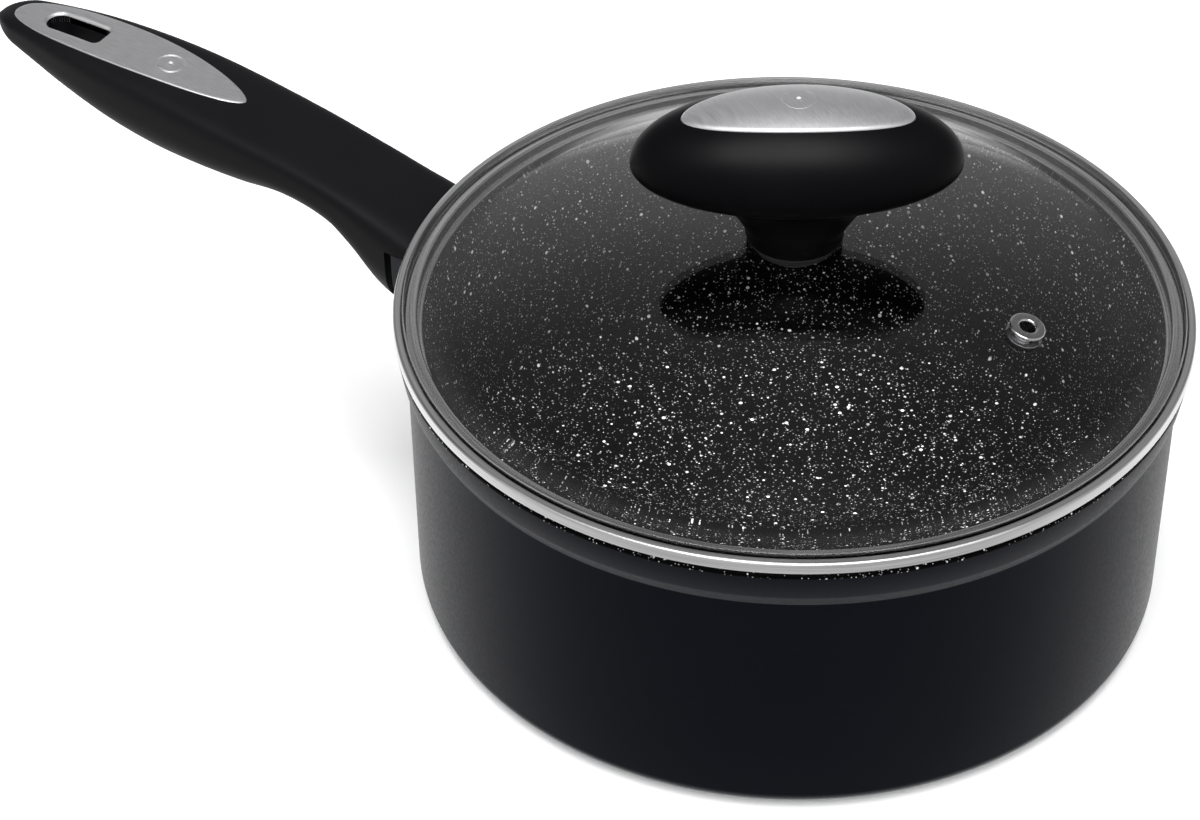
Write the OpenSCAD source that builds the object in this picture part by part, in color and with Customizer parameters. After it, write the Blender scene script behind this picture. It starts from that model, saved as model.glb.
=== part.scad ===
// Saucepan with a domed glass lid, a long moulded handle and an oval lid knob.
// Millimetres. The origin is the centre of the base on the table, +Z is up,
// and +X runs out along the handle.

/* [Pan] */
// Outer diameter of the straight wall
pan_od = 199; // [180:1:220]
// Height of the pan from the table to the top of its lip
pan_h = 81; // [78:1:84]
// Thickness of the forged wall
wall_t = 2.8; // [2:0.1:3.2]
// Thickness of the floor at its centre
floor_t = 4.6; // [3.5:0.1:6]
// Radius of the outer edge round the base
base_fillet = 5; // [3:0.5:8]
// Radius of the corner between wall and floor inside
floor_fillet = 10; // [6:1:24]
// Height below the lip where the wall steps outwards
step_drop = 12; // [10:0.5:13]
// How far the lip stands out past the straight wall
lip_flare = 2.7; // [2:0.1:3.5]
// Diameter of the steel disc pressed into the base
plate_d = 152; // [120:1:170]
// Thickness of the steel disc
plate_t = 0.8; // [0.5:0.1:1.2]

/* [Handle] */
// Distance from the pan's axis to the tip of the grip
grip_end = 254.5; // [252:0.5:260]
// Length of the rounding at the tip of the grip
grip_cap = 9; // [6:0.5:12]
// Thickness of the steel trim on the grip
trim_t = 0.6; // [0.4:0.1:0.8]
// How far the steel trims stand proud of the plastic
trim_proud = 0.3; // [0.1:0.1:0.5]
// Half width of the hanging hole
hang_half = 3.8; // [3:0.1:4.5]
// Slope of the bracket's tongue in degrees
tongue_tilt = 14; // [12:0.5:15]

/* [Lid] */
// Outer diameter of the steel rim
rim_od = 205; // [204:0.5:207]
// Height of the rim above the pan's lip
rim_h = 3.2; // [3:0.1:4]
// Thickness of the rim's sheet steel
rim_t = 0.4; // [0.3:0.1:0.5]
// Height of the dome above the lip
dome_h = 23; // [20:0.5:26]
// Radius of the dome's sphere
dome_r = 230; // [220:5:250]
// Thickness of the glass
glass_t = 3; // [2.6:0.1:3.4]
// Bearing of the steam vent from the handle in degrees
vent_bearing = 183; // [150:1:210]
// Distance along the slope from the axis to the vent, in degrees of the dome
vent_slope = 15.9; // [12:0.1:18]

/* [Knob] */
// Length of the knob
knob_l = 83; // [70:0.2:86]
// Width of the knob
knob_w = 40; // [34:0.5:44]
// Height of the knob's widest line above the table
knob_mid = 127; // [125:0.1:130]
// Height of the knob above its widest line
knob_up = 17.6; // [14:0.1:19]
// Depth of the knob below its widest line
knob_down = 9.8; // [8:0.1:12]
// Diameter of the knob's stem
stem_d = 25; // [22:0.2:26]
// Bearing of the knob's long way from the handle in degrees
knob_bearing = 30; // [0:1:90]

/* [Hidden] */
$fn = 96;
eps = 0.01;

pan_r = pan_od / 2;
step_z = pan_h - step_drop;
shoulder_z = step_z + 3.6;
shoulder_r = pan_r + 0.6 * lip_flare;
lip_r = wall_t / 2;
lip_c = pan_r + lip_flare - lip_r;

// The lid stands a hair above the lip.
lid_z = pan_h + 0.2;
rim_r = rim_od / 2;
rim_top = lid_z + rim_h;
rim_cover = 2.1;
skirt_r = 96.6;
skirt_drop = 5;
bead_r = 0.8;
glass_r = rim_r - rim_t - 0.1;
glass_z = lid_z + rim_t;
// The glass's flat edge stands proud of the rim.
flat_top = rim_top + 1;
dome_z = pan_h + dome_h;
dome_c = dome_z - dome_r;
vent_hole_r = 2.9;
knob_hole_r = 4;

// The bracket, its pad on the wall and its screws.
boss_w = 18;
boss_lo = 50.5;
boss_h = 16;
boss_x = pan_r + 4;
bracket_t = 2;
tongue_w = 12;
tongue_t = 2.5;
tongue_l = 48;
tongue_z = 62.5;
bracket_screw_y = 5.5;
bracket_screw_z = 56;
m4_r = 2;
grip_screw_x = 33;
collar_end = 113.3;
collar_top = 67.3;
slot_w = 2;

// Rows of the grip's shape: distance from the pan's axis, top, bottom, half width.
stations = [
  [94, 67.6, 42, 17.4],
  [112, 74.0, 45.5, 16.7],
  [120, 76.6, 49.5, 16.0],
  [128, 79.0, 58.5, 15.3],
  [136, 81.2, 65.5, 14.8],
  [150, 84.8, 69.5, 14.8],
  [165, 88.0, 69.0, 15.3],
  [180, 91.0, 69.3, 15.4],
  [195, 93.4, 70.7, 15.0],
  [210, 94.9, 74.0, 14.0],
  [225, 95.8, 79.0, 12.2],
  [240, 96.0, 84.5, 9.3],
  [grip_end, 95.4, 89.5, 6.0]
];
// Where the widest line lies between bottom and top, and how square the halves are.
widest = 0.58;
square_top = 5;
square_low = 2.6;
ring_n = 32;

// Steel trim of the grip: its two ends, its widest place and its half width there.
trim_lo = 170;
trim_hi = 248.5;
trim_mid = 212;
trim_half = 9;
// Lowest level that the trim reaches, above the underside of the tip.
trim_floor = 88.5;

knob_trim_a = 28.9;
knob_trim_b = 10.3;
// How square the knob's lower half is; 2 gives a plain ellipse.
knob_low_square = 2.4;
knob_base = dome_z + 0.6;
knob_gap = 0.02;
m5_r = 2.5;

// Points on an arc about [cx, cy] from angle a0 to a1 in n steps.
function arc(cx, cy, r, a0, a1, n) =
  [for (i = [0:n]) [cx + r * cos(a0 + (a1 - a0) * i / n), cy + r * sin(a0 + (a1 - a0) * i / n)]];

// Index of the stretch of rows that holds x.
function stretch(x, i = 0) =
  (i >= len(stations) - 2 || x < stations[i + 1][0]) ? i : stretch(x, i + 1);

// Slope of column c at row i.
function slope(i, c) =
  let (a = max(i - 1, 0), b = min(i + 1, len(stations) - 1))
  (stations[b][c] - stations[a][c]) / (stations[b][0] - stations[a][0]);

// Column c of the rows at x, on a smooth curve through them.
function at(x, c) =
  let (
    i = stretch(x),
    w = stations[i + 1][0] - stations[i][0],
    t = (x - stations[i][0]) / w,
    t2 = t * t,
    t3 = t2 * t
  )
  stations[i][c] * (2 * t3 - 3 * t2 + 1) + slope(i, c) * w * (t3 - 2 * t2 + t)
  + stations[i + 1][c] * (3 * t2 - 2 * t3) + slope(i + 1, c) * w * (t3 - t2);

function power(v, p) = sign(v) * pow(abs(v), p);

// How much the section shrinks in the rounding at the tip.
function cap_scale(x) =
  x <= grip_end - grip_cap ? 1 : sqrt(max(0, 1 - pow((x - grip_end + grip_cap) / grip_cap, 2)));

// One closed section of the grip at x, grown by g.
function section(x, g) =
  let (
    top = at(x, 1) + g,
    low = at(x, 2) - g,
    half = at(x, 3) + g,
    mid = low + widest * (top - low),
    f = cap_scale(x)
  )
  [for (k = [0:ring_n - 1])
    let (a = 360 * k / ring_n, p = 2 / (sin(a) > 0 ? square_top : square_low))
    [x, half * f * power(cos(a), p), mid + f * power(sin(a), p) * (sin(a) > 0 ? top - mid : mid - low)]];

grip_xs = concat(
  [94, 98, 102, 106, 110, 113, 116, 119, 122, 125, 128, 131, 134, 137, 141, 145],
  [for (x = [150:7.5:240]) x],
  [for (a = [0:18:72]) grip_end - grip_cap + grip_cap * sin(a)],
  [grip_end - 0.06]
);

// The grip's outer shape, grown by g all round.
module grip_form(g = 0) {
  n = ring_n;
  m = len(grip_xs);
  points = [for (x = grip_xs) each section(x, g)];
  sides = [for (i = [0:m - 2]) for (k = [0:n - 1])
    [i * n + k, (i + 1) * n + k, (i + 1) * n + (k + 1) % n, i * n + (k + 1) % n]];
  near_end = [for (k = [0:n - 1]) k];
  far_end = [for (k = [n - 1:-1:0]) (m - 1) * n + k];
  polyhedron(points, concat(sides, [near_end, far_end]), convexity = 6);
}

// Half width of the grip's trim at x.
function trim_w(x) =
  x < trim_mid
  ? trim_half * pow(max(0, 1 - pow((trim_mid - x) / (trim_mid - trim_lo), 2)), 1 / 1.7)
  : trim_half * pow(max(0, 1 - pow((x - trim_mid) / (trim_hi - trim_mid), 2.4)), 1 / 2.2);

// Outline of the grip's trim, grown by g.
module trim_outline(g = 0) {
  mid = (trim_lo + trim_hi) / 2;
  reach = (trim_hi - trim_lo) / 2;
  xs = [for (a = [-90:10:90]) mid + reach * sin(a)];
  upper = [for (i = [len(xs) - 1:-1:0]) [xs[i] + g * sign(i - 9), trim_w(xs[i]) + g]];
  lower = [for (i = [0:len(xs) - 1]) [xs[i] + g * sign(i - 9), -trim_w(xs[i]) - g]];
  polygon(concat(upper, lower));
}

// Outline of the hanging hole: square towards the pan, round towards the tip.
module hang_outline() {
  corner = 1.5;
  from = 218;
  to = 237;
  polygon(concat(
    arc(to - hang_half, 0, hang_half, -90, 90, 12),
    arc(from + corner, hang_half - corner, corner, 90, 180, 4),
    arc(from + corner, corner - hang_half, corner, 180, 270, 4)
  ));
}

// Moves its children to the foot of the tongue, with X along it.
module on_tongue() {
  translate([boss_x + 1, 0, tongue_z]) rotate([0, -tongue_tilt, 0]) children();
}

module pan_shell() {
  color("#2b2c33")
  rotate_extrude()
  polygon(concat(
    [[0, floor_t], [0, plate_t], [plate_d / 2, plate_t], [plate_d / 2, 0]],
    arc(pan_r - base_fillet, base_fillet, base_fillet, -90, 0, 8),
    [[pan_r, step_z], [shoulder_r, shoulder_z]],
    arc(lip_c, pan_h - lip_r, lip_r, 0, 180, 10),
    [[shoulder_r - wall_t, shoulder_z], [pan_r - wall_t, step_z]],
    arc(pan_r - wall_t - floor_fillet, floor_t + floor_fillet, floor_fillet, 0, -90, 10)
  ));
}

module base_plate() {
  color("silver")
  cylinder(d = plate_d, h = plate_t);
}

module wall_boss() {
  color("gainsboro")
  difference() {
    translate([pan_r - 4, -boss_w / 2, boss_lo]) cube([boss_x - pan_r + 4, boss_w, boss_h]);
    cylinder(r = pan_r, h = pan_h);
    for (y = [-bracket_screw_y, bracket_screw_y]) {
      translate([boss_x - 3, y, bracket_screw_z]) rotate([0, 90, 0]) cylinder(r = m4_r, h = 4);
    }
  }
}

module handle_bracket() {
  color("slategray")
  difference() {
    union() {
      translate([boss_x, -boss_w / 2, boss_lo]) cube([bracket_t, boss_w, boss_h]);
      on_tongue() translate([0, -tongue_w / 2, 0]) cube([tongue_l, tongue_w, tongue_t]);
    }
    translate([boss_x - 5, -boss_w, boss_lo]) cube([5, 2 * boss_w, 2 * boss_h]);
    for (y = [-bracket_screw_y, bracket_screw_y]) {
      translate([boss_x - eps, y, bracket_screw_z]) rotate([0, 90, 0])
        cylinder(r1 = m4_r + 0.1, r2 = m4_r + 1.9, h = bracket_t + 2 * eps);
    }
    on_tongue() translate([grip_screw_x, 0, -1]) cylinder(r = m4_r, h = tongue_t + 2);
  }
}

module bracket_screws() {
  color("lightgray")
  for (y = [-bracket_screw_y, bracket_screw_y]) {
    translate([boss_x, y, bracket_screw_z]) rotate([0, 90, 0])
    difference() {
      union() {
        translate([0, 0, -2.9]) cylinder(r = m4_r, h = 2.9);
        cylinder(r1 = m4_r, r2 = m4_r + 1.8, h = bracket_t);
      }
      for (turn = [0, 90]) {
        rotate([0, 0, turn]) translate([-2, -0.4, 1]) cube([4, 0.8, 2]);
      }
    }
  }
}

module handle_collar() {
  wall_gap = 0.1;
  room = 0.3;
  color("#1d1e22")
  difference() {
    intersection() {
      grip_form(-0.25);
      translate([pan_r - 6, -25, 30]) cube([collar_end - pan_r + 6, 50, collar_top - 30]);
    }
    cylinder(r = pan_r + wall_gap, h = pan_h);
    translate([pan_r - 6, -boss_w / 2 - room, boss_lo - room])
      cube([boss_x + bracket_t + room - pan_r + 6, boss_w + 2 * room, boss_h + 2 * room]);
    translate([boss_x, -tongue_w / 2 - room, bracket_screw_z - 5])
      cube([collar_end, tongue_w + 2 * room, 30]);
  }
}

module handle_grip() {
  room = 0.25;
  web = 1.8;
  color("#18181b")
  difference() {
    grip_form();
    cylinder(r = pan_r + 1.5, h = 200);
    translate([80, -40, 0]) cube([collar_end + slot_w - 80, 80, collar_top + 0.4]);
    on_tongue() translate([-8, -tongue_w / 2 - room, -room])
      cube([tongue_l + 8 + room, tongue_w + 2 * room, tongue_t + 2 * room]);
    on_tongue() translate([grip_screw_x, 0, -web - room]) cylinder(r = m4_r + 0.3, h = 7);
    on_tongue() translate([grip_screw_x, 0, -web - 20]) cylinder(r = 4.5, h = 20);
    difference() {
      translate([0, 0, trim_floor]) linear_extrude(20) trim_outline(0.12);
      grip_form(-trim_t);
    }
    translate([0, 0, 60]) linear_extrude(60) hang_outline();
  }
}

module handle_inlay() {
  color("darkgray")
  difference() {
    intersection() {
      translate([0, 0, trim_floor]) linear_extrude(20) trim_outline();
      grip_form(trim_proud);
    }
    grip_form(-trim_t);
    translate([0, 0, 60]) linear_extrude(60) hang_outline();
  }
}

module handle_washer() {
  color("silver")
  on_tongue() translate([grip_screw_x, 0, -2.4])
  difference() {
    cylinder(r = 4.2, h = 0.6);
    translate([0, 0, -1]) cylinder(r = m4_r + 0.1, h = 3);
  }
}

module handle_screw() {
  head_h = 2.2;
  color("lightgray")
  on_tongue() translate([grip_screw_x, 0, -2.4])
  difference() {
    union() {
      translate([0, 0, -head_h]) cylinder(r = 3.6, h = head_h);
      cylinder(r = m4_r, h = 6.2);
    }
    for (turn = [0, 90]) {
      rotate([0, 0, turn]) translate([-2, -0.4, -head_h - 1]) cube([4, 0.8, 2.2]);
    }
  }
}

// Height of a surface of the glass at radius r: a sphere that runs out into a flat edge.
function dome(r, sphere, edge) =
  let (rise = dome_c + sqrt(sphere * sphere - r * r) - edge, soft = 1.2)
  edge + (rise + sqrt(rise * rise + soft * soft)) / 2;
function dome_top(r) = dome(r, dome_r, flat_top);
function dome_low(r) = dome(r, dome_r - glass_t, glass_z);

// The knob's fixing hangs below the glass.
gasket_low = dome_low(0) - 1.3;
washer_low = gasket_low - 0.8;

// Moves its children to the vent, with Z straight out of the glass.
module at_vent() {
  rotate([0, 0, vent_bearing])
  translate([0, 0, dome_c])
  rotate([0, vent_slope, 0])
  translate([0, 0, dome_r])
  children();
}

module lid_glass() {
  edge_top = rim_top - rim_t - 0.05;
  bevel_r = rim_r - rim_cover - 0.3;
  corner = 0.5;
  radii = concat([for (r = [0:6:78]) r], [84, 88, 91, 94, 97]);
  color("lightblue", 0.35)
  difference() {
    rotate_extrude()
    polygon(concat(
      [for (r = radii) [r, dome_low(r)]],
      [[glass_r, glass_z + eps], [glass_r, edge_top - corner], [glass_r - corner, edge_top]],
      [[bevel_r, edge_top], [bevel_r, flat_top - 0.7]],
      [[bevel_r - 0.2, flat_top - 0.2], [bevel_r - 0.7, flat_top]],
      [for (i = [len(radii) - 1:-1:0]) [radii[i], dome_top(radii[i])]]
    ));
    cylinder(r = knob_hole_r, h = 200);
    at_vent() translate([0, 0, -12]) cylinder(r = vent_hole_r, h = 24);
  }
}

module lid_rim() {
  skirt_z = lid_z - skirt_drop;
  corner = 0.9;
  color("silver")
  rotate_extrude()
  polygon(concat(
    arc(rim_r - corner, rim_top - corner, corner, 0, 90, 5),
    [[rim_r - rim_cover, rim_top], [rim_r - rim_cover, rim_top - rim_t]],
    arc(rim_r - corner, rim_top - corner, corner - rim_t, 90, 0, 4),
    [[rim_r - rim_t, glass_z], [skirt_r - rim_t, glass_z]],
    arc(skirt_r - bead_r, skirt_z + bead_r, bead_r, 60, 330, 10),
    [[skirt_r, skirt_z + bead_r], [skirt_r, lid_z], [rim_r - 0.3, lid_z], [rim_r, lid_z + 0.3]]
  ));
}

module vent_eyelet() {
  color("silver")
  at_vent()
  rotate_extrude()
  polygon(concat(
    [[2.05, -glass_t - 0.9], [2.55, -glass_t - 0.9], [2.55, 0.3]],
    [[4.5, 0.3]],
    arc(4.1, 0.7, 0.6, -40, 90, 6),
    arc(2.75, 0.6, 0.7, 90, 180, 5)
  ));
}

module vent_gasket() {
  color("whitesmoke")
  at_vent() translate([0, 0, 0.08])
  difference() {
    cylinder(r = 4.1, h = 0.2);
    translate([0, 0, -1]) cylinder(r = 2.6, h = 3);
  }
}

module vent_washer() {
  color("silver")
  at_vent() translate([0, 0, -glass_t - 0.85])
  difference() {
    cylinder(r = 4.7, h = 0.7);
    translate([0, 0, -1]) cylinder(r = 2.6, h = 3);
  }
}

// The knob's oval head, grown by g.
module knob_head(g = 0) {
  n = 32;
  rows = [for (a = [-80:10:80]) a];
  m = len(rows);
  low_power = 2 / knob_low_square;
  wide = function (a) a > 0 ? cos(a) : power(cos(a), low_power);
  rise = function (a) a > 0 ? (knob_up + g) * sin(a) : (knob_down + g) * power(sin(a), low_power);
  points = concat(
    [[0, 0, knob_mid - knob_down - g]],
    [for (a = rows) for (k = [0:n - 1])
      [(knob_l / 2 + g) * wide(a) * cos(360 * k / n),
       (knob_w / 2 + g) * wide(a) * sin(360 * k / n),
       knob_mid + rise(a)]],
    [[0, 0, knob_mid + knob_up + g]]
  );
  low = [for (k = [0:n - 1]) [0, 1 + k, 1 + (k + 1) % n]];
  sides = [for (i = [0:m - 2]) for (k = [0:n - 1])
    [1 + i * n + k, 1 + (i + 1) * n + k, 1 + (i + 1) * n + (k + 1) % n, 1 + i * n + (k + 1) % n]];
  top = [for (k = [0:n - 1]) [m * n + 1, 1 + (m - 1) * n + (k + 1) % n, 1 + (m - 1) * n + k]];
  rotate([0, 0, knob_bearing]) polyhedron(points, concat(low, sides, top), convexity = 4);
}

// Straight-sided form over the outline of the knob's trim, grown by g.
module knob_trim_form(g = 0) {
  rotate([0, 0, knob_bearing])
  translate([0, 0, knob_mid])
  linear_extrude(40)
  polygon([for (a = [0:9:351]) [(knob_trim_a + g) * cos(a), (knob_trim_b + g) * sin(a)]]);
}

module knob_grip() {
  stem_r = stem_d / 2;
  color("#141416")
  difference() {
    union() {
      knob_head();
      rotate_extrude()
      polygon(concat(
        [[0, knob_mid - 4], [0, knob_base], [stem_r, knob_base], [stem_r + 0.1, knob_base + 2]],
        [[stem_r + 0.7, knob_base + 4.1], [stem_r + 1.8, knob_base + 6.3], [stem_r + 3, knob_base + 8.8]],
        [[stem_r + 3.4, knob_base + 11], [stem_r + 3, knob_base + 13], [stem_r + 2.2, knob_base + 15.4]]
      ));
    }
    difference() {
      knob_trim_form(0.12);
      knob_head(-trim_t);
    }
    translate([0, 0, knob_base - 1]) cylinder(r = 4, h = 17);
    translate([0, 0, knob_base + 10]) cylinder(r = m5_r + 0.1, h = 14);
  }
}

module knob_inlay() {
  color("darkgray")
  difference() {
    intersection() {
      knob_head(trim_proud);
      knob_trim_form();
    }
    knob_head(-trim_t);
  }
}

module knob_seat() {
  color("black")
  rotate_extrude()
  polygon([
    [knob_hole_r + 0.2, dome_top(0) + knob_gap],
    [stem_d / 2 - 0.4, dome_top(0) + knob_gap],
    [stem_d / 2 - 0.4, knob_base],
    [knob_hole_r + 0.2, knob_base]
  ]);
}

module knob_insert() {
  color("goldenrod")
  translate([0, 0, knob_base + 1])
  difference() {
    cylinder(r = 4, h = 15);
    translate([0, 0, -1]) cylinder(r = m5_r, h = 17);
  }
}

module knob_gasket() {
  color("dimgray")
  translate([0, 0, gasket_low])
  difference() {
    union() {
      cylinder(r = 10, h = 1);
      cylinder(r = knob_hole_r - 0.1, h = 3.5);
    }
    translate([0, 0, -1]) cylinder(r = m5_r + 0.1, h = 6);
  }
}

module knob_washer() {
  color("silver")
  translate([0, 0, washer_low])
  difference() {
    cylinder(r = 9, h = gasket_low - washer_low);
    translate([0, 0, -1]) cylinder(r = m5_r + 0.2, h = 3);
  }
}

module knob_screw() {
  head_h = 3.2;
  color("lightgray")
  translate([0, 0, washer_low - head_h])
  difference() {
    union() {
      rotate_extrude()
      polygon(concat([[0, head_h], [0, 0]], arc(2.6, 2, 2, -90, 0, 5), [[4.6, head_h]]));
      translate([0, 0, head_h - eps]) cylinder(r = m5_r, h = 22);
    }
    for (turn = [0, 90]) {
      rotate([0, 0, turn]) translate([-2.5, -0.5, -1]) cube([5, 1, 2.8]);
    }
  }
}

pan_shell();
base_plate();
wall_boss();
handle_bracket();
bracket_screws();
handle_collar();
handle_grip();
handle_inlay();
handle_screw();
handle_washer();
lid_glass();
lid_rim();
vent_eyelet();
vent_gasket();
vent_washer();
knob_grip();
knob_inlay();
knob_seat();
knob_insert();
knob_gasket();
knob_washer();
knob_screw();
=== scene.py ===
import math

import bmesh
import bpy
from mathutils import Matrix, Vector


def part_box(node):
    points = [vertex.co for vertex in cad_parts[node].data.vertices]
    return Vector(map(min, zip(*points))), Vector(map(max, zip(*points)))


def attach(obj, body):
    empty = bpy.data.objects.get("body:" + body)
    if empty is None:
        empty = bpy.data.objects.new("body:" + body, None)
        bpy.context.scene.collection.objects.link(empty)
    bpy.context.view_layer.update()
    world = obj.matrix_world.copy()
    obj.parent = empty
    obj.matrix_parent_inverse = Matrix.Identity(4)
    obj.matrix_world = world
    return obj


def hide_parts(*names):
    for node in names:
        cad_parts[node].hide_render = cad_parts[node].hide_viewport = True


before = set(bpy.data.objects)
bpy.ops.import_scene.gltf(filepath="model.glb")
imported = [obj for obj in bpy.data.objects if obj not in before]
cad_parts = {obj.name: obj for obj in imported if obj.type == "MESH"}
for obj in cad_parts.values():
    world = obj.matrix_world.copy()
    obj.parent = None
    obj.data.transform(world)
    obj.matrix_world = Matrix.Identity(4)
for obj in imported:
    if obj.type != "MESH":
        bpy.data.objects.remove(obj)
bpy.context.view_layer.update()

# A saucepan with a domed glass lid, an oval knob and a long moulded handle.
# Metres, with the origin at the centre of the base, +Z up and +X along the handle.
MM = 0.001

# ---------------------------------------------------------------- sizes
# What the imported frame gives.
pan_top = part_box("pan_shell")[1].z
plate_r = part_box("base_plate")[1].x
plate_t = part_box("base_plate")[1].z
rim_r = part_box("lid_rim")[1].x
rim_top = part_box("lid_rim")[1].z
skirt_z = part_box("lid_rim")[0].z
glass_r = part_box("lid_glass")[1].x
glass_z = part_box("lid_glass")[0].z
knob_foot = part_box("knob_grip")[0].z
grip_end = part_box("handle_grip")[1].x

# The forged pan.
lip_flare = 2.7 * MM
pan_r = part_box("pan_shell")[1].x - lip_flare
wall_t = 2.8 * MM
floor_t = 4.6 * MM
base_fillet = 5 * MM
floor_fillet = 10 * MM
step_z = pan_top - 12 * MM
shoulder_z = step_z + 3.6 * MM
shoulder_r = pan_r + 0.6 * lip_flare
lip_r = wall_t / 2
lip_c = pan_r + lip_flare - lip_r
coating_edge = pan_top - 1.8 * MM
bright_edge = 1.7 * MM

# The lid.
lid_z = pan_top + 0.2 * MM
rim_t = 0.4 * MM
rim_cover = 2.1 * MM
skirt_r = 96.6 * MM
bead_r = 0.8 * MM
glass_t = 3 * MM
dome_r = 230 * MM
dome_c = pan_top + 23 * MM - dome_r
knob_hole_r = 4 * MM
vent_hole_r = 2.9 * MM
vent_bearing = math.radians(183)
vent_slope = math.radians(15.9)

# The knob, with its long way turned from the handle.
knob_bearing = math.radians(30)
knob_a = 41.5 * MM
knob_b = 20 * MM
knob_mid = 127 * MM
knob_up = 17.6 * MM
knob_down = 9.8 * MM
knob_low_square = 2.4
knob_trim_a = 28.9 * MM
knob_trim_b = 10.3 * MM
trim_t = 0.6 * MM
trim_proud = 0.3 * MM

# The grip: distance from the pan's axis, top, bottom and half width, in millimetres.
STATIONS = [
    (94, 67.6, 42, 17.4), (112, 74, 45.5, 16.7), (120, 76.6, 49.5, 16), (128, 79, 58.5, 15.3),
    (136, 81.2, 65.5, 14.8), (150, 84.8, 69.5, 14.8), (165, 88, 69, 15.3), (180, 91, 69.3, 15.4),
    (195, 93.4, 70.7, 15), (210, 94.9, 74, 14), (225, 95.8, 79, 12.2), (240, 96, 84.5, 9.3),
    (grip_end / MM, 95.4, 89.5, 6),
]
WIDEST = 0.58
SQUARE_TOP = 5
SQUARE_LOW = 2.6
grip_cap = 9 * MM
collar_end = 113.3 * MM
collar_top = 67.3 * MM
slot_w = 2 * MM
boss_x = pan_r + 4 * MM
trim_lo = 170 * MM
trim_hi = 248.5 * MM
trim_mid = 212 * MM
trim_half = 9 * MM
hang_half = 3.8 * MM
hang_from = 218 * MM
hang_to = 237 * MM


# ---------------------------------------------------------------- materials
def linear(code):
    """The linear RGBA of an sRGB hex colour."""
    parts = [int(code[i:i + 2], 16) / 255 for i in (1, 3, 5)]
    return [c / 12.92 if c <= 0.04045 else ((c + 0.055) / 1.055) ** 2.4 for c in parts] + [1]


def add(tree, kind, inputs=None, **settings):
    """Adds a node: settings are its own, inputs gives a socket a value or another node's output."""
    made = tree.nodes.new(kind)
    for name, value in settings.items():
        setattr(made, name, value)
    for name, value in (inputs or {}).items():
        if isinstance(value, bpy.types.NodeSocket):
            tree.links.new(value, made.inputs[name])
        else:
            made.inputs[name].default_value = value
    return made


def finish_named(name, settings):
    """A new material, its node tree, its shader with these settings and the place on the piece."""
    made = bpy.data.materials.new(name)
    made.use_nodes = True
    tree = made.node_tree
    shader = tree.nodes["Principled BSDF"]
    for socket, value in settings.items():
        shader.inputs[socket].default_value = value
    place = add(tree, "ShaderNodeTexCoord").outputs["Object"]
    return made, tree, shader, place


def per(mm):
    """The scale of a pattern whose marks are this many millimetres apart."""
    return 1 / (mm * MM)


COLOUR_A, COLOUR_B, COLOUR_OUT = 6, 7, 2


def blend_colours(tree, factor, dark, light):
    """The colour between two others that factor picks."""
    inputs = {0: factor, COLOUR_A: dark, COLOUR_B: light}
    return add(tree, "ShaderNodeMix", inputs, data_type="RGBA").outputs[COLOUR_OUT]


def spread(tree, value, low, high, from_low=0.3, from_high=0.7):
    """value, stretched so that from_low..from_high becomes low..high."""
    inputs = {"Value": value, "From Min": from_low, "From Max": from_high, "To Min": low, "To Max": high}
    return add(tree, "ShaderNodeMapRange", inputs).outputs["Result"]


def maths(tree, operation, *values):
    """The result of one step of arithmetic."""
    return add(tree, "ShaderNodeMath", dict(enumerate(values)), operation=operation).outputs["Value"]


def bump(tree, shader, height, depth):
    """Lets a pattern raise the surface by depth metres."""
    made = add(tree, "ShaderNodeBump", {"Height": height, "Distance": depth})
    tree.links.new(made.outputs["Normal"], shader.inputs["Normal"])


def baked_enamel():
    """Charcoal silicone enamel sprayed on aluminium: satin, bluish, with a faint orange peel."""
    made, tree, shader, place = finish_named("baked_enamel_charcoal", {
        "Roughness": 0.34, "Specular IOR Level": 0.075, "IOR": 1.5, "Specular Tint": linear("#c4d0ff"),
    })
    cloud = add(tree, "ShaderNodeTexNoise", {"Vector": place, "Scale": per(28), "Detail": 2})
    peel = add(tree, "ShaderNodeTexNoise", {"Vector": place, "Scale": per(0.9), "Detail": 2})
    colour = blend_colours(tree, cloud.outputs["Fac"], linear("#05060a"), linear("#08090e"))
    tree.links.new(colour, shader.inputs["Base Color"])
    tree.links.new(spread(tree, peel.outputs["Fac"], 0.3, 0.4), shader.inputs["Roughness"])
    bump(tree, shader, peel.outputs["Fac"], 0.012 * MM)
    return made


# Flecks of the nonstick: spacing, radius, and how bright they are.
FLECKS = [
    (5.2, 0.58, "#ffffff"), (2.9, 0.38, "#f4f4f4"), (1.6, 0.26, "#e0e0e0"), (0.93, 0.18, "#b8b8b8"),
]


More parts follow.
